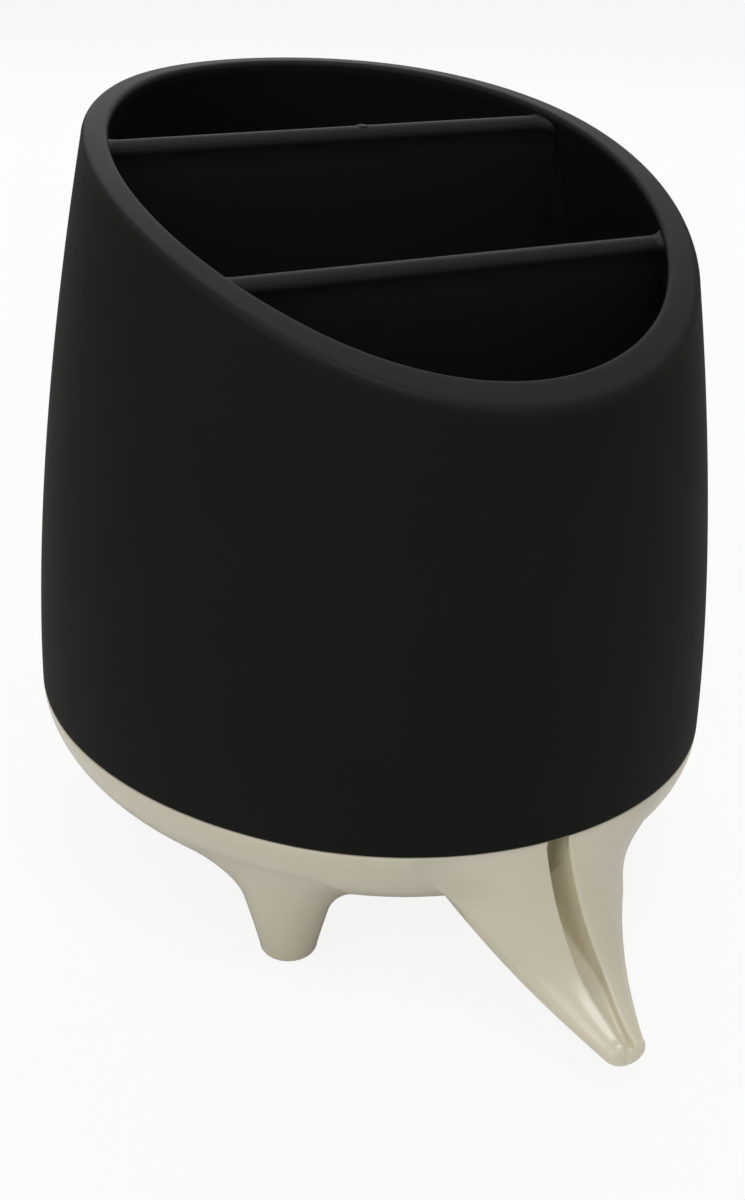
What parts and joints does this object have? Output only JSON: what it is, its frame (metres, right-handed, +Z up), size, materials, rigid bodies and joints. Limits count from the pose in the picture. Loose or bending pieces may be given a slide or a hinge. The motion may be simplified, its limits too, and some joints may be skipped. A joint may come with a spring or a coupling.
{
  "type": "cutlery drainer",
  "caption": "Oval cutlery cup with a sloping rim and upright dividers that lifts off a drip base on peg legs, whose grooved spout leads the water into a sink.",
  "frame": {"origin": "On the table, under the middle of the whole footprint, spout included. The cup's own axis stands 13 mm behind it, towards +Y.", "axes": "+Z is up. The spout points along -Y, and +X is across the spout line."},
  "size_m": [0.134, 0.175, 0.1521],
  "materials": {
    "cup_black": "fine matt moulded plastic, slightly smoother on the rounded lip",
    "divider_black": "fine matt moulded plastic with a smoother round top edge",
    "floor_black": "matt moulded plastic",
    "base_cream": "glossy, faintly translucent cream plastic"
  },
  "bodies": {
    "base": {"drip_base": "base_cream"},
    "cup": {"cup_shell": "cup_black", "rear_divider": "divider_black", "front_divider": "divider_black", "strainer_floor": "floor_black"}
  },
  "joints": [
    {"name": "cup_lift", "type": "slide", "parent": "base", "child": "cup", "axis": [0, 0, 1], "range_m": [0, 0.08]}
  ]
}
